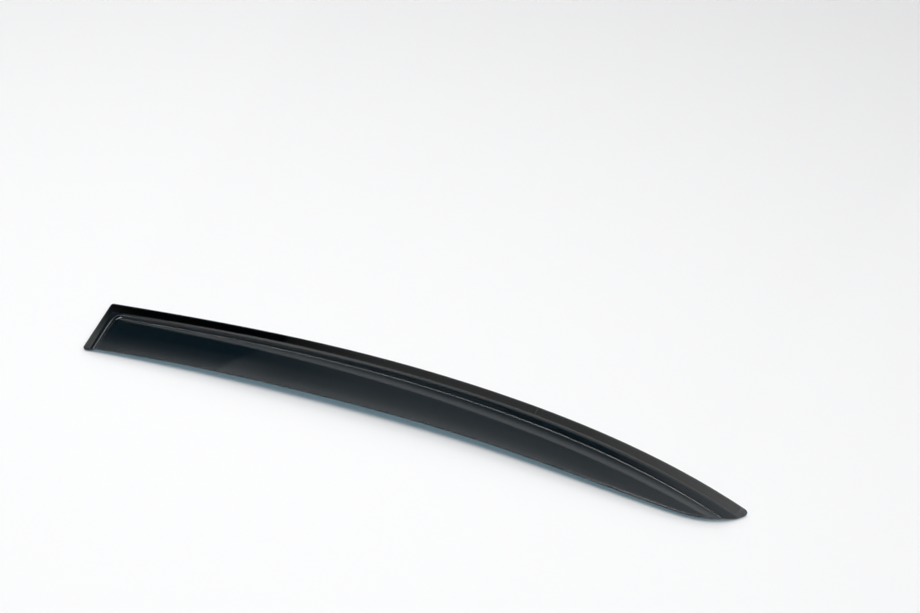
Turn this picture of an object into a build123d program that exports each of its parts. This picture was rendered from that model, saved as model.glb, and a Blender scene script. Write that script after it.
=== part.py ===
# Rear-door window rain deflector, lying face up on its bonding tape.
# Millimetres, +Z up. X runs along the window from the square pillar end to the nose,
# +Y is the side of the bonded flange and -Y the side of the free edge.
import os
from math import atan2, cos, degrees, radians, sin

from build123d import *

os.makedirs("parts", exist_ok=True)

# Top edge in plan
length = 775.0  # chord from the pillar-end corner to the nose
arch_rise = 40.4  # how far the top edge arches over that chord
arch_place = 470.0  # where along the chord it is highest
start_angle = 7.7  # climb of the top edge at the pillar end, in degrees
nose_angle = 18.6  # fall of the top edge at the nose, in degrees

# Depth of the moulding, square to the top edge, and the share of that edge where it is met
end_depth = 73.0
middle_depth = 72.0
middle_share = 0.35
waist_depth = 66.7
waist_share = 0.66
taper_depth = 50.5
taper_share = 0.9
prow_depth = 24.5
prow_share = 0.98
end_edge_angle = 9.7  # climb of the free edge at the pillar end, in degrees
prow_angle = 66.0  # climb of the free edge as it reaches the nose, in degrees

# Sheet, and the bow of the door frame that it follows
wall = 2.8
bow = 10.0  # rise of the flange between its two ends

# Step from the bonded flange up to the shield
foot_inset = 14.5  # top edge to the foot of the ramp
crest_inset = 26.4  # top edge to the crest of the ramp
end_foot_inset = 11.5  # pillar-end edge to the foot of the end ramp
end_crest_inset = 20.0  # pillar-end edge to the crest of the end ramp
step_height = 7.6  # crest over flange at the pillar end
nose_step = 2.8  # crest over flange at the nose
corner_radius = 18.0  # between the two ramps
crest_radius = 1.4
valley_radius = 15.0

# Shield
crown_drop = 3.6  # fall of the crown from the crest to the free edge, at the pillar end
end_tilt = 0.5  # fall of the shield at its crest, in degrees, at the pillar end
nose_tilt = 3.0  # the same at the nose

# Corners of the outline
plan_corner_radius = 3.5
nose_radius = 4.0

# Bonding tape in butted strips under the flange
tape_thickness = 1.0
tape_margin = 1.0  # edge of the sheet to edge of the tape
top_tape_width = 9.5
end_tape_width = 5.0
tape_gap = 0.6  # between two strips
top_tape_joint = 535.0  # along the top edge
nose_tape_margin = 10.0  # end of the top tape to the nose
end_tape_joint = 45.0  # along the pillar end

# Room around the finished outline while the sheet is formed
overrun = end_depth / 2
block_depth = end_depth
trim_room = wall
root_depth = wall / 2  # how far the ramp runs on below the flange


def heading(angle):
    """Direction in plan at an angle in degrees from +X."""
    return Vector(cos(radians(angle)), sin(radians(angle)))


# Top edge from the pillar-end corner to the nose
with BuildLine() as top_edge:
    top_line = Spline(
        (0, 0),
        (arch_place, arch_rise),
        (length, 0),
        tangents=[heading(start_angle), heading(-nose_angle)],
    )


def station_at(share):
    """Plane square to the top edge, x inwards and y up. It runs on straight past both ends."""
    within = min(max(share, 0), 1)
    along = top_line.tangent_at(within)
    place = top_line.position_at(within) + along * (share - within) * top_line.length
    return Plane(place, x_dir=(along.Y, -along.X, 0), z_dir=-along)


def inset_point(share, inset):
    """Point in plan at a share of the top edge, set in square to it."""
    station = station_at(share)
    return station.origin + station.x_dir * inset


start = station_at(0)
along_end = start.x_dir  # down the pillar end
into_end = -start.z_dir  # square to the pillar end


def end_point(inset, depth):
    """Point in plan by its distances from the pillar-end edge and from the top edge."""
    return start.origin + into_end * inset + along_end * depth


bow_radius = (length / 2) ** 2 / (2 * bow) + bow / 2


def flange_height(x):
    """Height of the bowed flange over its two ends."""
    return (bow_radius**2 - (x - length / 2) ** 2) ** 0.5 - bow_radius + bow


def step_at(share):
    """Height of the crest over the flange, fading towards the nose."""
    return step_height + (nose_step - step_height) * min(share, 1) ** 3


def tilt_at(share):
    """Fall of the shield at its crest, in radians."""
    return radians(end_tilt + (nose_tilt - end_tilt) * share)


def shared_edges(face, others):
    """Edges that a face has in common with any of the other faces."""
    return [edge for edge in face.edges() if any(edge in other.edges() for other in others)]


# Door frame: a block with a bowed top
frame_reach = end_depth + arch_rise + overrun
with BuildPart() as frame_block:
    with BuildSketch(Plane.XZ):
        with BuildLine():
            left = (-overrun, flange_height(-overrun))
            right = (length + overrun, flange_height(length + overrun))
            ThreePointArc(left, (length / 2, bow), right)
            Polyline(right, (right[0], -block_depth), (left[0], -block_depth), left)
        make_face()
    extrude(amount=frame_reach, both=True)

# Window opening in the frame, which starts halfway up the ramps
station_shares = (0, 0.25, 0.5, 0.75, 1, 1 + overrun / length)
half_ramp = (foot_inset + crest_inset) / 2
half_end_ramp = (end_foot_inset + end_crest_inset) / 2
with BuildPart() as window:
    with BuildSketch(Plane.XY.offset(-block_depth)):
        with BuildLine():
            sill = [inset_point(share, half_ramp) for share in station_shares[1:]]
            head = Spline(end_point(half_end_ramp, half_ramp), *sill)
            low = end_point(half_end_ramp, frame_reach)
            Polyline(head @ 0, low, ((head @ 1).X, low.Y), head @ 1)
        make_face()
    extrude(amount=2 * block_depth)

# Raised shield as a solid: ramp up to the crest, then the crowned panel
panel_width = end_depth - crest_inset
crown_radius = (panel_width**2 + crown_drop**2) / (2 * crown_drop)
panel_sweep = degrees((panel_width + overrun) / crown_radius)
with BuildPart() as shield:
    for share in station_shares:
        base = flange_height(inset_point(share, crest_inset).X)
        slope = step_at(share) / (crest_inset - foot_inset)
        root = (foot_inset - root_depth / slope, base - root_depth)
        crest = (crest_inset, base + step_at(share))
        fall = (cos(tilt_at(share)), -sin(tilt_at(share)))
        with BuildSketch(station_at(share)):
            with BuildLine():
                Line(root, crest)
                panel = JernArc(crest, fall, crown_radius, -panel_sweep)
                Polyline(panel @ 1, ((panel @ 1).X, -block_depth), root)
            make_face()
    loft()
    end_slope = atan2(step_height, end_crest_inset - end_foot_inset)
    uphill = into_end * cos(end_slope) + Vector(0, 0, sin(end_slope))
    end_ramp = Plane(end_point(end_foot_inset, 0), x_dir=along_end, z_dir=along_end.cross(uphill))
    split(bisect_by=end_ramp, keep=Keep.BOTTOM)
    lift = Vector(0, 0, step_height / 2)
    top_spot = inset_point(0.5, half_ramp) + Vector(0, 0, bow) + lift
    end_spot = end_point(half_end_ramp, (half_ramp + end_depth) / 2) + lift
    corner_spot = end_point(half_end_ramp, half_ramp) + lift
    panel_spot = inset_point(0.5, waist_depth) + Vector(0, 0, bow) + lift
    ramps = [shield.faces().sort_by_distance(spot)[0] for spot in (top_spot, end_spot)]
    fillet(shared_edges(ramps[0], ramps[1:]), radius=corner_radius)
    ramp_spots = (top_spot, corner_spot, end_spot)
    ramps = [shield.faces().sort_by_distance(spot)[0] for spot in ramp_spots]
    panel_face = shield.faces().sort_by_distance(panel_spot)[0]
    fillet(shared_edges(panel_face, ramps), radius=crest_radius)

# Former: frame and shield together, with the valley between them rounded.
# The valley is one smooth line, so its round runs on from the top ramp to the end ramp.
with BuildPart() as former:
    add(frame_block.part)
    add(window.part, mode=Mode.SUBTRACT)
    add(shield.part)
    split(bisect_by=Plane.XZ.offset(end_depth + trim_room), keep=Keep.BOTTOM)
    split(bisect_by=Plane.YZ.offset(length + trim_room), keep=Keep.BOTTOM)
    top_ramp = former.faces().sort_by_distance(top_spot)[0]
    flange_face = former.faces().sort_by_distance(inset_point(0.5, 0) + Vector(0, 0, bow))[0]
    fillet(shared_edges(flange_face, [top_ramp]), radius=valley_radius)

# Finished outline in plan
with BuildSketch() as outline:
    with BuildLine():
        add(top_line)
        free_edge = Spline(
            inset_point(0, end_depth),
            inset_point(middle_share, middle_depth),
            inset_point(waist_share, waist_depth),
            inset_point(taper_share, taper_depth),
            inset_point(prow_share, prow_depth),
            top_line @ 1,
            tangents=[heading(end_edge_angle), heading(prow_angle)],
        )
        Line(top_line @ 0, free_edge @ 0)
    make_face()
    fillet(outline.vertices().sort_by(Axis.X)[:2], radius=plan_corner_radius)
    fillet(outline.vertices().sort_by(Axis.X)[-1], radius=nose_radius)

# Moulded sheet: drawn over the former and cut to the outline
with BuildPart() as deflector_shell:
    with BuildSketch(Plane.XY.offset(-block_depth / 2)):
        add(outline.sketch)
    extrude(amount=block_depth)
    add(former.part, mode=Mode.INTERSECT)
    with Locations((0, 0, -wall)):
        add(former.part, mode=Mode.SUBTRACT)


# Pillar that the end tape is pressed onto: flat, along the flange at the middle of that tape
pillar_x = end_point(tape_margin + end_tape_width / 2, end_depth / 2).X
pillar_slope = (length / 2 - pillar_x) / (flange_height(pillar_x) + bow_radius - bow)
pillar_face = Plane(
    (pillar_x, 0, flange_height(pillar_x) - wall - tape_thickness),
    x_dir=(1, 0, pillar_slope),
    z_dir=(-pillar_slope, 0, 1),
)


def tape_column(near_side, far_side):
    """Column between two lines in plan, from the underside of the flange down."""
    with BuildPart() as column:
        with BuildSketch(Plane.XY.offset(-block_depth / 2)):
            with BuildLine():
                near = Spline(*near_side)
                far = Spline(*far_side)
                Line(near @ 0, far @ 0)
                Line(near @ 1, far @ 1)
            make_face()
        extrude(amount=block_depth)
        with Locations((0, 0, -wall)):
            add(frame_block.part, mode=Mode.INTERSECT)
    return column.part


def top_tape(begin, finish):
    """Tape along the top edge between two distances from the pillar end."""
    spots = [begin + (finish - begin) * step / 4 for step in range(5)]
    shares = [spot / top_line.length for spot in spots]
    near_side = [inset_point(share, tape_margin) for share in shares]
    far_side = [inset_point(share, tape_margin + top_tape_width) for share in shares]
    with BuildPart() as strip:
        add(tape_column(near_side, far_side))
        with Locations((0, 0, -wall - tape_thickness)):
            add(frame_block.part, mode=Mode.SUBTRACT)
    return strip


def end_tape(begin, finish):
    """Tape along the pillar end between two distances from the top edge."""
    near_side = [end_point(tape_margin, depth) for depth in (begin, finish)]
    far_side = [end_point(tape_margin + end_tape_width, depth) for depth in (begin, finish)]
    with BuildPart() as strip:
        add(tape_column(near_side, far_side))
        split(bisect_by=pillar_face, keep=Keep.TOP)
    return strip


# Two strips along the top edge, which take the corner, and two down the pillar end
top_tape_long = top_tape(tape_margin, top_tape_joint - tape_gap / 2)
top_tape_short = top_tape(top_tape_joint + tape_gap / 2, top_line.length - nose_tape_margin)
end_tape_upper = end_tape(tape_margin + top_tape_width + tape_gap, end_tape_joint - tape_gap / 2)
end_tape_lower = end_tape(end_tape_joint + tape_gap / 2, end_depth - tape_margin)

# Origin below the middle of the sheet, at the level of the surface that the tape lies on
sheet_middle = deflector_shell.part.bounding_box().center()
tape_bottom = top_tape_long.part.bounding_box().min.Z
pieces = {
    "deflector_shell": deflector_shell,
    "top_tape_long": top_tape_long,
    "top_tape_short": top_tape_short,
    "end_tape_upper": end_tape_upper,
    "end_tape_lower": end_tape_lower,
}
for label, piece in pieces.items():
    piece.part.move(Location((-sheet_middle.X, -sheet_middle.Y, -tape_bottom)))
    piece.part.label = label
    export_step(piece.part, f"parts/{label}.step")
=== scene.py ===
# %% [markdown]
# # A smoked window deflector
# The part is one thin sheet of smoked acrylic that lies face up on four strips of foam tape.
# The solids come in first, as a fixed frame in metres. Everything after this is looks.

# %% Load the frame
from math import radians

import bmesh
import bpy
import numpy as np
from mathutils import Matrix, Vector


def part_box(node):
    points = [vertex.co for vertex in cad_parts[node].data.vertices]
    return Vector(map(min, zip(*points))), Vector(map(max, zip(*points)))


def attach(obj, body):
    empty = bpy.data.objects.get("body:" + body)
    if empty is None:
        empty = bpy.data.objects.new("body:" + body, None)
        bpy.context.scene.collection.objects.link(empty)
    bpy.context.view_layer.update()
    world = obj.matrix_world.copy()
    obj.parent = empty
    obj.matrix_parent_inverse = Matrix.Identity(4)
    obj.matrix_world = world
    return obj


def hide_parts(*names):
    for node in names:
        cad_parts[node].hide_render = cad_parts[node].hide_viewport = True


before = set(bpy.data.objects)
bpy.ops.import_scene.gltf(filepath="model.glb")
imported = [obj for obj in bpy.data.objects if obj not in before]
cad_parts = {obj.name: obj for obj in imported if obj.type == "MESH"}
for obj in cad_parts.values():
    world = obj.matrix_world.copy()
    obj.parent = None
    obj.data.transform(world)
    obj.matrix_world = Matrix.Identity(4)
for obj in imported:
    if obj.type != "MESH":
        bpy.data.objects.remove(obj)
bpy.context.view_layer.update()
shell_low, shell_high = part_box("deflector_shell")
print("solids:", sorted(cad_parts), "sheet from", shell_low, "to", shell_high)

# %% [markdown]
# ## Camera
# The view looks steeply down from the free-edge side, with the square end at the left.
# The place, the turn and the lens were fitted to the outline of the sheet, so they are plain numbers.
# Aiming at a point would be the other way, but then a roll could creep in.

# %% Place the camera
camera_place = (0.3033, -0.5718, 0.8988)
camera_dip = radians(48.363)
camera_swing = radians(21.726)
camera_lens = 38.654
sensor_width = 36.0

camera_data = bpy.data.cameras.new("camera")
camera_data.lens = camera_lens
camera_data.sensor_width = sensor_width
camera = bpy.data.objects.new("camera", camera_data)
camera.location = camera_place
camera.rotation_euler = (radians(90) - camera_dip, 0.0, camera_swing)
bpy.context.scene.collection.objects.link(camera)
bpy.context.scene.camera = camera
print("camera at", camera_place, "lens", camera_lens)

# %% [markdown]
# ## Outline of the sheet
# The top edge is a smooth cubic through three points, and the free edge one through six.
# A curve object could draw them, but the sheet also needs to know how far each spot lies along the
# top edge and how far in from it. So both edges are sampled here, and every later size is given in
# those two measures, along and inset, as a pattern cutter would give them.


# %% A cubic through a few points
def cubic_through(points, first, last, samples):
    """Evenly sampled smooth cubic through a few points, with the velocity at both ends given."""
    points = np.array(points)
    gaps = np.linalg.norm(np.diff(points, axis=0), axis=1)
    system = np.eye(len(points))
    velocity = np.zeros(points.shape)
    velocity[0] = first
    velocity[-1] = last
    for k in range(1, len(points) - 1):
        before, after = gaps[k - 1], gaps[k]
        system[k, k - 1:k + 2] = after, 2 * (before + after), before
        arriving = (points[k] - points[k - 1]) / before
        leaving = (points[k + 1] - points[k]) / after
        velocity[k] = 3 * (after * arriving + before * leaving)
    velocity = np.linalg.solve(system, velocity)
    knots = np.concatenate([[0], np.cumsum(gaps)])
    where = np.linspace(0, knots[-1], samples)
    span = np.clip(np.searchsorted(knots, where, side="right") - 1, 0, len(gaps) - 1)
    gap = gaps[span][:, None]
    t = ((where - knots[span]) / gaps[span])[:, None]
    start_part = (1 + 2 * t) * (1 - t) ** 2 * points[span] + t * (1 - t) ** 2 * gap * velocity[span]
    finish_part = t * t * (3 - 2 * t) * points[span + 1] - t * t * (1 - t) * gap * velocity[span + 1]
    return start_part + finish_part


def heading(angle):
    """Direction in plan at an angle in degrees from +X."""
    return np.array([np.cos(radians(angle)), np.sin(radians(angle))])


# %% Sample the top edge
length = 0.775
arch_place, arch_rise = 0.470, 0.0404
start_angle, nose_angle = 7.7, -18.6
start_pace, nose_pace = 1.0812, 0.9523  # how fast the curve sets off, against a straight line
top_samples = 4001

top_edge = cubic_through(
    [(0, 0), (arch_place, arch_rise), (length, 0)],
    heading(start_angle) * start_pace,
    heading(nose_angle) * nose_pace,
    top_samples,
)
top_steps = np.linalg.norm(np.diff(top_edge, axis=0), axis=1)
top_along = np.concatenate([[0], np.cumsum(top_steps)])
top_length = top_along[-1]
top_forward = np.gradient(top_edge, top_along, axis=0)
print("top edge", round(top_length, 4), "m long")


# %% Go between plan places and the two measures
def in_plan(along, inset):
    """Plan places at distances along the top edge and in from it."""
    place = [np.interp(along, top_along, top_edge[:, k]) for k in (0, 1)]
    forward = [np.interp(along, top_along, top_forward[:, k]) for k in (0, 1)]
    return place[0] + forward[1] * inset, place[1] - forward[0] * inset


def on_strip(points):
    """Distances along the top edge and in from it, for plan places near it."""
    nearest = [np.argmin(((top_edge - point) ** 2).sum(axis=1)) for point in points]
    offset = points - top_edge[nearest]
    forward = top_forward[nearest]
    along = top_along[nearest] + (offset * forward).sum(axis=1)
    inset = offset[:, 0] * forward[:, 1] - offset[:, 1] * forward[:, 0]
    return along, inset


# %% Sample the free edge
end_depth = 0.073
depth_shares = (0.35, 0.66, 0.9, 0.98)
depths = (0.072, 0.0667, 0.0505, 0.0245)
end_edge_angle, prow_angle = 9.7, 66.0
end_edge_pace, prow_pace = 0.9928, 0.7995
free_samples = 1601

depth_points = [in_plan(share * top_length, depth) for share, depth in zip(depth_shares, depths)]
free_edge = cubic_through(
    [in_plan(0.0, end_depth), *depth_points, (length, 0)],
    heading(end_edge_angle) * end_edge_pace,
    heading(prow_angle) * prow_pace,
    free_samples,
)
free_along, free_inset = on_strip(free_edge)
print("free edge is", round(free_inset.max(), 4), "m from the top edge at most")

# %% [markdown]
# ## Rounded corners and nose
# The two corners of the pillar end and the nose are rounded in plan.
# Each round is a piece of a circle in the along and inset measures, so the outline becomes two
# curves, near and far, between which every cross line of the sheet runs.

# %% Find the round of the nose
plan_corner_radius = 0.0035
nose_radius = 0.004
nose_search, tip_stretch = 0.03, 0.06  # where the round's centre is tried, and what it may touch
nose_tries = 3001

centre_spots = np.linspace(top_length - nose_search, top_length, nose_tries)
tip_part = free_along > top_length - tip_stretch
spot_gaps = [
    np.hypot(free_along[tip_part] - spot, free_inset[tip_part] - nose_radius).min() for spot in centre_spots
]
nose_centre = centre_spots[np.argmax(np.array(spot_gaps) < nose_radius)]
nose_touch = np.argmin(np.hypot(free_along - nose_centre, free_inset - nose_radius))
nose_tip = nose_centre + nose_radius
print("nose tip at", round(nose_tip, 4), "m along")


# %% Round the outline
def corner_curl(along):
    """How far an edge curls in at the corners of the pillar end."""
    short = np.clip(plan_corner_radius - along, 0, plan_corner_radius)
    return plan_corner_radius - np.sqrt(plan_corner_radius**2 - short**2)


def nose_half(along):
    """Half the width of the sheet within the round of the nose."""
    past = np.clip(along - nose_centre, 0, nose_radius)
    return np.sqrt(nose_radius**2 - past**2)


def near_edge(along):
    """Inset of the top edge, which curls in at the pillar-end corner and at the nose."""
    return corner_curl(along) + nose_radius - nose_half(along)


def far_edge(along):
    """Inset of the free edge, which curls in at the other corner and at the nose."""
    plain = np.interp(along, free_along[:nose_touch], free_inset[:nose_touch]) - corner_curl(along)
    return np.where(along > free_along[nose_touch - 1], nose_radius + nose_half(along), plain)


print("width at the round of the nose", round(float(far_edge(nose_centre) - near_edge(nose_centre)), 4), "m")

# %% [markdown]
# ## Height of the sheet
# The flange is bowed like the door frame. A ramp lifts off it to the shield, which is crowned.
# A second ramp closes the pillar end. On the real moulding these faces run into each other in
# rounds: a wide one in the valley, a tight one at the crest and a wide one at the corner.
# Along the crest runs a fine bead, a third of a millimetre high, that shows as a thin line of light.
# Bevelled edges could give such rounds, but they pinch where three of them meet.
# A soft minimum or maximum of the plain heights gives the same rounds and stays smooth there.

# %% Heights of the plain faces
wall = 0.0028
bow = 0.010
foot_inset, crest_inset = 0.0145, 0.0264
end_foot_inset, end_crest_inset = 0.0115, 0.020
step_height, nose_step = 0.0076, 0.0028
crown_drop = 0.0036
end_tilt, nose_tilt = radians(0.5), radians(3.0)
bow_radius = (length / 2) ** 2 / (2 * bow) + bow / 2
panel_width = end_depth - crest_inset
crown_radius = (panel_width**2 + crown_drop**2) / (2 * crown_drop)


def flange_height(x):
    """Height of the bowed flange."""
    return np.sqrt(bow_radius**2 - (x - length / 2) ** 2) - bow_radius + bow


def ramp_slope(along):
    """Steepness of the ramp, which fades towards the nose."""
    share = np.clip(along / top_length, 0, 1)
    return (step_height + (nose_step - step_height) * share**3) / (crest_inset - foot_inset)


def panel_height(along, inset):
    """Height of the crowned shield over the foot of the ramp."""
    tilt = end_tilt + (nose_tilt - end_tilt) * along / top_length
    crest = ramp_slope(along) * (crest_inset - foot_inset)
    over = inset - crest_inset + crown_radius * np.sin(tilt)
    return crest - crown_radius * np.cos(tilt) + np.sqrt(crown_radius**2 - over**2)


print("bow radius", round(bow_radius, 3), "m, crown radius", round(crown_radius, 4), "m")

# %% Heights with their rounds
crest_radius, valley_radius, corner_radius = 0.003, 0.015, 0.018
corner_reach = 0.465  # reach of the round at the corner, for its radius and slopes
steepest_fall = 0.1  # steepest fall of the shield that the round at the crest reckons with
bead_height, bead_width = 0.00032, 0.0008


def soft_min(one, other, reach):
    """The lower of two heights, rounded where they differ by less than reach."""
    near = np.clip(1 - np.abs(one - other) / reach, 0, 1)
    return np.minimum(one, other) - near**2 * reach / 4


def round_reach(radius, steep, gentle):
    """Reach of a round of this radius between two slopes."""
    turn = np.sin(np.arctan(steep)) - np.sin(np.arctan(gentle))
    return radius * (steep - gentle) * turn / 2


def sheet_height(along, inset):
    """Height of the outer face of the sheet."""
    x, y = in_plan(along, inset)
    flange = flange_height(x)
    base = flange_height(in_plan(along, crest_inset)[0])
    top_slope = ramp_slope(along)
    end_slope = step_height / (end_crest_inset - end_foot_inset)
    top_ramp = base + top_slope * (inset - foot_inset)
    from_end = x * heading(start_angle)[0] + y * heading(start_angle)[1]
    end_ramp = end_slope * (from_end - end_foot_inset)
    hip_reach = corner_radius * np.hypot(top_slope, end_slope) * corner_reach
    end_share = np.clip(0.5 + (top_ramp - end_ramp) / hip_reach / 2, 0, 1)
    slope = np.hypot(top_slope * (1 - end_share), end_slope * end_share)
    ramp = soft_min(top_ramp, end_ramp, hip_reach)
    panel_fall = -(inset - crest_inset) / crown_radius * (1 - end_share)
    crest_reach = round_reach(crest_radius, slope, np.clip(panel_fall, -steepest_fall, 0))
    panel = base + panel_height(along, inset)
    bead = bead_height * np.exp(-(((ramp - panel) / slope / bead_width) ** 2))
    shield = soft_min(ramp, panel, crest_reach) + bead
    return -soft_min(-flange, -shield, round_reach(valley_radius, slope, 0.0))


print("crest stands", round(float(sheet_height(0.3, crest_inset)), 4), "m over the flange ends")

# %% [markdown]
# ## The sheet as a mesh
# A grid is the natural start: its long lines follow the top edge and its cross lines run inwards.
# The lines are packed where the sheet bends tightly, so that the reflections stay clean.
# The flat grid is extruded into two layers, which are laid out in plan and lifted to the outer face
# and the underside. Solidify could give the second layer, but not the rim: the cut edges are polished
# round, so the lines next to the rim drop away in a quarter circle.

# %% Choose the grid lines
edge_radius = 0.0004
rim_lines = [0.0, 0.00006, 0.00015, 0.00027, edge_radius]
rim_end = edge_radius + 0.0001
tip_lines = [0.001, 0.0007, 0.0004, 0.00027, 0.00015, 0.00006, 0.00002]


def lines(*stretches):
    """Distances from stretches given as start, end and spacing."""
    runs = [np.arange(start, end - spacing / 2, spacing) for start, end, spacing in stretches]
    return np.concatenate(runs)


cross_lines = np.concatenate([
    rim_lines,
    # flange, ramp and crest of the pillar end
    lines((rim_end, 0.005, 0.0006), (0.005, 0.018, 0.0004), (0.018, 0.0225, 0.00025)),
    # shield, with the lines closer again at the nose
    lines((0.0225, 0.045, 0.001), (0.045, 0.69, 0.004)),
    lines((0.69, 0.745, 0.0015), (0.745, nose_tip - tip_lines[0], 0.0005)),
    nose_tip - np.array(tip_lines),
])
long_lines = np.concatenate([
    rim_lines,
    # flange, valley and ramp of the top edge
    lines((rim_end, 0.0092, 0.0016), (0.0092, 0.0192, 0.0005), (0.0192, 0.0248, 0.0012)),
    # crest and shield
    lines((0.0248, 0.0286, 0.0002), (0.0286, end_depth - rim_end, 0.0016)),
    end_depth - np.array([rim_end, *rim_lines[::-1]]),
])
print(len(cross_lines), "cross lines and", len(long_lines), "long lines")

# %% Lay the grid out
feature_inset = 0.029  # long lines up to here keep their distance from the top edge
feature_share = 0.93  # of the width at most, where the sheet gets narrow
along = np.repeat(cross_lines[:, None], len(long_lines), axis=1)
near = near_edge(along)
far = far_edge(along)
squeeze = np.minimum(1, feature_share * (far - near) / feature_inset)
feature_part = np.minimum(long_lines, feature_inset) * squeeze
panel_room = (far - near - feature_inset * squeeze) / (end_depth - feature_inset)
inset = near + feature_part + np.clip(long_lines - feature_inset, 0, None) * panel_room
plan_x, plan_y = in_plan(along, inset)
print("sheet size in plan", np.ptp(plan_x), np.ptp(plan_y))

# %% Lift it to its height
tape_clearance = 0.00003  # keeps the underside off the tape
bead_rise = 0.8 * bead_height  # what the bead adds to the highest point

near_lean = np.hypot(1, np.gradient(near[:, 0], cross_lines))[:, None]
far_lean = np.hypot(1, np.gradient(far[:, 0], cross_lines))[:, None]
rim = np.minimum.reduce([(inset - near) / near_lean, (far - inset) / far_lean, along, nose_tip - along])
rim_drop = edge_radius - np.sqrt(edge_radius**2 - np.clip(edge_radius - rim, 0, edge_radius) ** 2)
outer = sheet_height(along, inset) - rim_drop
inner = sheet_height(along, inset) - wall + tape_clearance + rim_drop
shift_x = (shell_low.x + shell_high.x - plan_x.min() - plan_x.max()) / 2
shift_y = (shell_low.y + shell_high.y - plan_y.min() - plan_y.max()) / 2
shift_z = shell_high.z - outer.max() + bead_rise
print("shift onto the solid", shift_x, shift_y, shift_z)


# %% From a bmesh to an object
def new_object(name, mesh):
    """Object made of a finished bmesh, linked to the scene."""
    data = bpy.data.meshes.new(name)
    mesh.to_mesh(data)
    mesh.free()
    thing = bpy.data.objects.new(name, data)
    bpy.context.scene.collection.objects.link(thing)
    return thing


# %% Make the mesh
weld_distance = 0.000002
sheet_mesh = bmesh.new()
rows, columns = len(long_lines), len(cross_lines)
bmesh.ops.create_grid(sheet_mesh, x_segments=columns - 1, y_segments=rows - 1, size=0.5)


def grid_index(vert):
    """Which cross line and long line a vertex of the flat grid is on."""
    return round((vert.co.x + 0.5) * (columns - 1)), round((0.5 - vert.co.y) * (rows - 1))


grid_spots = {vert: grid_index(vert) for vert in sheet_mesh.verts}
lower = bmesh.ops.extrude_face_region(sheet_mesh, geom=sheet_mesh.faces[:], use_keep_orig=True)
lower_spots = {v: grid_index(v) for v in lower["geom"] if isinstance(v, bmesh.types.BMVert)}
for spots, height in ((grid_spots, outer), (lower_spots, inner)):
    for vert, (i, j) in spots.items():
        vert.co = (plan_x[i, j] + shift_x, plan_y[i, j] + shift_y, height[i, j] + shift_z)
bmesh.ops.remove_doubles(sheet_mesh, verts=sheet_mesh.verts[:], dist=weld_distance)
bmesh.ops.recalc_face_normals(sheet_mesh, faces=sheet_mesh.faces[:])
for face in sheet_mesh.faces:
    face.smooth = True

sheet = new_object("smoked_sheet", sheet_mesh)
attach(sheet, "root")
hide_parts("deflector_shell")
print("sheet:", len(sheet.data.vertices), "vertices,", len(sheet.data.polygons), "faces")

# %% [markdown]
# ## Smoked acrylic
# The tint is in the plastic, so it belongs in the volume: thicker paths come out darker, and the light
# that reaches the floor through the sheet takes the same blue-green cast.
# Lamps are let through by a transparent shader for shadow rays. The grey base colour is the smoke of
# the polished faces: it dims what is seen through the sheet, but not the light that lamps send through.
# A soft noise varies the polish a little, as on any moulded sheet.


# %% Helpers for node trees
def node_tools(tree):
    """Functions that add a node with some socket values to an emptied tree, and link two sockets."""
    tree.nodes.clear()

    def add(kind, **values):
        node = tree.nodes.new(kind)
        for key, value in values.items():
            node.inputs[key.replace("_", " ")].default_value = value
        return node

    return add, tree.links.new


def new_material(name):
    """Material with an emptied node tree, and the tools to fill it."""
    material = bpy.data.materials.new(name)
    material.use_nodes = True
    return material, *node_tools(material.node_tree)


# %% Acrylic
tint = (0.315, 0.484, 0.55, 1.0)
tint_density = 1000.0
smoke_grey = (0.25, 0.25, 0.25, 1.0)

acrylic, add, link = new_material("smoked_acrylic_polished")
place = add("ShaderNodeTexCoord")
haze = add("ShaderNodeTexNoise", Scale=35.0, Detail=4.0, Roughness=0.6)
haze_range = add("ShaderNodeMapRange", From_Min=0.35, From_Max=0.7, To_Min=0.02, To_Max=0.05)
surface = add("ShaderNodeBsdfPrincipled", Base_Color=smoke_grey, Transmission_Weight=1.0, IOR=1.49)
lamp_pass = add("ShaderNodeBsdfTransparent")
ray_kind = add("ShaderNodeLightPath")
choice = add("ShaderNodeMixShader")
smoke = add("ShaderNodeVolumeAbsorption", Color=tint, Density=tint_density)
output = add("ShaderNodeOutputMaterial")
link(place.outputs["Object"], haze.inputs["Vector"])
link(haze.outputs["Fac"], haze_range.inputs["Value"])
link(haze_range.outputs["Result"], surface.inputs["Roughness"])
link(ray_kind.outputs["Is Shadow Ray"], choice.inputs["Fac"])
link(surface.outputs["BSDF"], choice.inputs[1])
link(lamp_pass.outputs["BSDF"], choice.inputs[2])
link(choice.outputs["Shader"], output.inputs["Surface"])
link(smoke.outputs["Volume"], output.inputs["Volume"])
sheet.data.materials.append(acrylic)
print("acrylic tint", tint[:3], "density", tint_density)

# %% [markdown]
# ## Foam tape
# Closed-cell foam is dull, nearly black and finely pitted, and its cut sides are soft, not sharp.
# A curve with a profile could draw the strips, but a bar shows its size more plainly. So each strip
# starts as a cube. It is scaled, bevelled and cut across, and then laid along the same two measures
# as the sheet.

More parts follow.
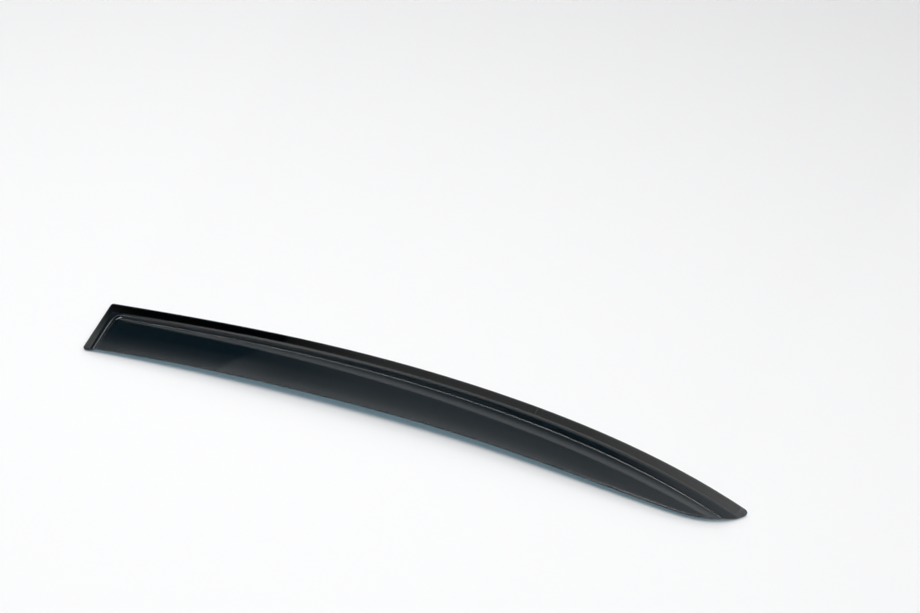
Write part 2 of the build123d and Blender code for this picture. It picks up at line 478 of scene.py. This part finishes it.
# %% Foam
foam, add, link = new_material("black_foam_tape")
place = add("ShaderNodeTexCoord")
cells = add("ShaderNodeTexVoronoi", Scale=2500.0)
shade = add("ShaderNodeValToRGB")
shade.color_ramp.elements[0].color = (0.010, 0.010, 0.011, 1.0)
shade.color_ramp.elements[1].color = (0.030, 0.030, 0.033, 1.0)
pits = add("ShaderNodeBump", Strength=0.4, Distance=0.0002)
surface = add("ShaderNodeBsdfPrincipled", Roughness=0.85)
output = add("ShaderNodeOutputMaterial")
link(place.outputs["Object"], cells.inputs["Vector"])
link(cells.outputs["Distance"], shade.inputs["Fac"])
link(cells.outputs["Distance"], pits.inputs["Height"])
link(shade.outputs["Color"], surface.inputs["Base Color"])
link(pits.outputs["Normal"], surface.inputs["Normal"])
link(surface.outputs["BSDF"], output.inputs["Surface"])
print("foam with", len(foam.node_tree.nodes), "nodes")

# %% A strip of tape
tape_thickness = 0.0009
tape_round = 0.0004
lengthwise_share = 0.9  # of an edge's length has to lie along the axis


def edges_along(mesh, axis):
    """Edges of a bar that run along one axis."""
    runs = {edge: edge.verts[1].co - edge.verts[0].co for edge in mesh.edges}
    return [edge for edge, run in runs.items() if abs(run[axis]) > lengthwise_share * run.length]


def tape_strip(node, along_range, inset_range, cuts):
    """Bar with rounded sides under the flange, between two distances each way."""
    size = (np.ptp(along_range), np.ptp(inset_range), tape_thickness)
    middle = (np.mean(along_range), np.mean(inset_range), -tape_thickness / 2)
    lengthwise = int(np.argmax(size))
    bar = bmesh.new()
    bmesh.ops.create_cube(bar, size=1.0)
    bmesh.ops.scale(bar, vec=size, verts=bar.verts[:])
    bmesh.ops.translate(bar, vec=middle, verts=bar.verts[:])
    bmesh.ops.bevel(
        bar, geom=edges_along(bar, lengthwise), offset=tape_round,
        affect="EDGES", segments=3, profile=0.5, material=-1,
    )
    bmesh.ops.subdivide_edges(bar, edges=edges_along(bar, lengthwise), cuts=cuts)
    for vert in bar.verts:
        x, y = in_plan(vert.co.x, vert.co.y)
        z = flange_height(x) - wall + vert.co.z
        vert.co = (x + shift_x, y + shift_y, z + shift_z)
    foam_bar = new_object(node + "_foam", bar)
    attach(foam_bar, "root")
    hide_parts(node)
    foam_bar.data.materials.append(foam)
    print(node, "with", len(foam_bar.data.polygons), "faces")


# %% Tape strips
half_gap = 0.0003  # on each side of a butt joint
top_start, top_joint, top_end = 0.0008, 0.535, top_length - 0.010
top_insets = (0.0004, 0.0106)
end_start, end_joint, end_finish = 0.0112, 0.045, 0.0720
end_along = (0.0010, 0.0060)
long_cuts, short_cuts, end_cuts = 90, 40, 2

tape_strip("top_tape_long", (top_start, top_joint - half_gap), top_insets, long_cuts)
tape_strip("top_tape_short", (top_joint + half_gap, top_end), top_insets, short_cuts)
tape_strip("end_tape_upper", end_along, (end_start, end_joint - half_gap), end_cuts)
tape_strip("end_tape_lower", end_along, (end_joint + half_gap, end_finish), end_cuts)

# %% [markdown]
# ## Floor
# The sheet lies on a plain white table. A backdrop that curves up could close the picture at the back,
# but a flat table gives the sheet less to mirror. It is made very wide, so that it also fills the
# picture from the side.


# %% Floor
def plain_finish(name, colour, roughness):
    """Material with one colour and one roughness all over."""
    material, add, link = new_material(name)
    surface = add("ShaderNodeBsdfPrincipled", Base_Color=colour, Roughness=roughness)
    output = add("ShaderNodeOutputMaterial")
    link(surface.outputs["BSDF"], output.inputs["Surface"])
    return material


floor_size = 60.0
floor_white = (0.94, 0.944, 0.952, 1.0)

floor_mesh = bmesh.new()
bmesh.ops.create_grid(floor_mesh, x_segments=1, y_segments=1, size=floor_size / 2)
floor = new_object("floor", floor_mesh)
floor.data.materials.append(plain_finish("white_table", floor_white, roughness=0.9))
print("floor", floor_size, "m")

# %% [markdown]
# ## Black flag
# The ramp behind the crest leans away, so it mirrors the table behind the part and would look white.
# A photographer lays black velvet there, just out of the picture. This flag does the same: it follows
# the top edge, and only reflections see it, so the table itself stays white.

# %% Black flag
flag_length, flag_gap, flag_depth = 0.74, 0.004, 25.0
flag_segments = 40
flag_lift = 0.0005  # keeps the velvet off the table
velvet_black = (0.006, 0.006, 0.006, 1.0)

flag_mesh = bmesh.new()
bmesh.ops.create_grid(flag_mesh, x_segments=flag_segments, y_segments=1, size=0.5)
for vert in flag_mesh.verts:
    flag_inset = -flag_gap - flag_depth * (vert.co.y + 0.5)
    x, y = in_plan(flag_length * (vert.co.x + 0.5), flag_inset)
    vert.co = (x + shift_x, y + shift_y, flag_lift)
flag = new_object("black_flag", flag_mesh)
flag.visible_camera = False
flag.visible_diffuse = False
flag.visible_transmission = False
flag.visible_shadow = False
flag.data.materials.append(plain_finish("black_velvet", velvet_black, roughness=0.95))
print("flag", flag_depth, "m deep")

# %% [markdown]
# ## Softbox
# One long softbox hangs over the table and points straight down. A sun lamp would cut the shadow
# sharply, and a lit room alone would leave hardly any. The box's size sets how soft the shadow is.

# %% Softbox
softbox_place = (-0.25, -0.09, 1.9)
softbox_size = (3.0, 0.6)
softbox_power = 23.5

softbox_data = bpy.data.lights.new("overhead_softbox", "AREA")
softbox_data.shape = "RECTANGLE"
softbox_data.size, softbox_data.size_y = softbox_size
softbox_data.energy = softbox_power
softbox = bpy.data.objects.new("overhead_softbox", softbox_data)
softbox.location = softbox_place
bpy.context.scene.collection.objects.link(softbox)
print("softbox of", softbox_size, "m at", softbox_place)

# %% [markdown]
# ## Room
# What a polished sheet shows is mostly its surroundings, so the room matters as much as the lamp.
# A mirror image is told best by where its ray would meet a flat ceiling one metre up: so far to the
# right, and so far to the back. The room is written in these two measures. The ceiling is dark at the
# left and grey at the right, with a lit edge between. The scrim round the softbox fades out, a strip
# light hangs behind it, and beyond a dark gap the upper back wall is white. Low down at the
# front and at the sides the room is pale, so that the table runs out into light in other views.

# %% Helpers for the room
room = bpy.data.worlds.new("studio")
room.use_nodes = True
bpy.context.scene.world = room
add, link = node_tools(room.node_tree)


def maths(operation, one, other):
    """Socket with the result of a sum on sockets or numbers."""
    node = add("ShaderNodeMath")
    node.operation = operation
    for socket, value in zip(node.inputs, (one, other)):
        if isinstance(value, float):
            socket.default_value = value
        else:
            link(value, socket)
    return node.outputs["Value"]


def levels(value, stops):
    """Socket with a brightness that runs through stops of value and brightness."""
    low, high = stops[0][0], stops[-1][0]
    spread = add("ShaderNodeMapRange", From_Min=low, From_Max=high)
    ramp = add("ShaderNodeValToRGB")
    elements = ramp.color_ramp.elements
    while len(elements) < len(stops):
        elements.new(1.0)
    for element, (spot, brightness) in zip(elements, stops):
        element.position = (spot - low) / (high - low)
        element.color = (brightness, brightness, brightness, 1.0)
    link(value, spread.inputs["Value"])
    link(spread.outputs["Result"], ramp.inputs["Fac"])
    return ramp.outputs["Color"]


def blend(share, low, high):
    """Socket that goes from one brightness to another by a share."""
    rest = maths("SUBTRACT", 1.0, share)
    return maths("ADD", maths("MULTIPLY", rest, low), maths("MULTIPLY", share, high))


# %% The two measures of the room
least = 0.01  # keeps the divisions off zero at the horizon
strip_slant, wall_slant, ceiling_slant = 0.21, 0.08, 0.12

look = add("ShaderNodeTexCoord")
split = add("ShaderNodeSeparateXYZ")
link(look.outputs["Generated"], split.inputs["Vector"])
rise = maths("MAXIMUM", split.outputs["Z"], least)
depth = maths("MAXIMUM", split.outputs["Y"], least)
rightward = maths("DIVIDE", split.outputs["X"], rise)
backward = maths("DIVIDE", split.outputs["Y"], rise)
across_strip = maths("ADD", backward, maths("MULTIPLY", rightward, strip_slant))
across_wall = maths("ADD", backward, maths("MULTIPLY", rightward, wall_slant))
across_ceiling = maths("ADD", rightward, maths("MULTIPLY", backward, ceiling_slant))
print("measures from", len(room.node_tree.nodes), "nodes")

# %% Ceiling, scrim and strip light
ceiling = levels(across_ceiling, (
    (-1.0, 0.05), (-0.494, 0.02), (-0.491, 0.14), (-0.4, 0.25), (-0.3, 0.42), (-0.15, 0.52),
    (0.02, 0.6), (0.15, 1.0), (0.3, 1.6), (0.85, 1.6), (1.35, 0.4),
))
gap = levels(across_strip, ((0.45, 0.8), (0.5, 0.35), (0.56, 0.4), (0.61, 1.2)))
scrim = levels(backward, (
    (0.1, 0.0), (0.18, 1.3), (0.24, 0.8), (0.28, 0.42), (0.32, 0.2), (0.42, 0.0),
))
strip = levels(across_strip, (
    (0.42, 0.0), (0.43, 1.1), (0.455, 1.05), (0.475, 0.6), (0.5, 0.15), (0.52, 0.0),
))
reach = maths(
    "MULTIPLY",
    levels(backward, ((-0.5, 0.08), (-0.25, 1.0))),
    levels(split.outputs["Z"], ((0.1, 0.0), (0.25, 1.0))),
)
lit_edge = maths(
    "MULTIPLY",
    levels(across_ceiling, ((-0.494, 0.0), (-0.491, 1.0), (-0.41, 0.0))),
    levels(backward, ((0.28, 0.4), (0.33, 0.3), (0.39, 0.1), (0.45, 0.0))),
)
frames = maths("ADD", maths("ADD", scrim, strip), lit_edge)
overhead = maths("ADD", maths("MULTIPLY", ceiling, gap), frames)
print("ceiling brings it to", len(room.node_tree.nodes), "nodes")

# %% Walls, and all together
wall_rise = maths("DIVIDE", rise, depth)
wall_bearing = maths("DIVIDE", split.outputs["X"], depth)
wall_left = levels(wall_rise, ((0.03, 0.02), (0.45, 0.95), (0.65, 1.2), (1.4, 1.15)))
wall_right = levels(wall_rise, ((0.0, 0.01), (0.18, 0.02), (0.25, 0.16), (0.37, 0.44), (1.4, 1.85)))
wall_light = blend(levels(wall_bearing, ((-0.45, 0.0), (-0.2, 1.0))), wall_left, wall_right)
wall_share = maths(
    "MULTIPLY",
    levels(across_wall, ((0.695, 0.0), (0.705, 1.0))),
    levels(wall_bearing, ((-0.86, 0.0), (-0.76, 1.0))),
)
skirting = maths(
    "MULTIPLY",
    levels(split.outputs["Z"], ((0.05, 0.7), (0.1, 0.0))),
    levels(split.outputs["Y"], ((0.3, 1.0), (0.5, 0.0))),
)
mixed = maths("ADD", skirting, blend(wall_share, maths("MULTIPLY", overhead, reach), wall_light))
shine = add("ShaderNodeBackground")
output = add("ShaderNodeOutputWorld")
link(mixed, shine.inputs["Color"])
link(shine.outputs["Background"], output.inputs["Surface"])
bpy.context.scene.view_settings.view_transform = "Standard"
print("room with", len(room.node_tree.nodes), "nodes")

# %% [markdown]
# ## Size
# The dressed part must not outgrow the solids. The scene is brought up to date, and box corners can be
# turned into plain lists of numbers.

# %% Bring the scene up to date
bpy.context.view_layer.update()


def plain(bounds):
    """Box corners as plain lists of numbers."""
    return [list(map(float, corner)) for corner in bounds]
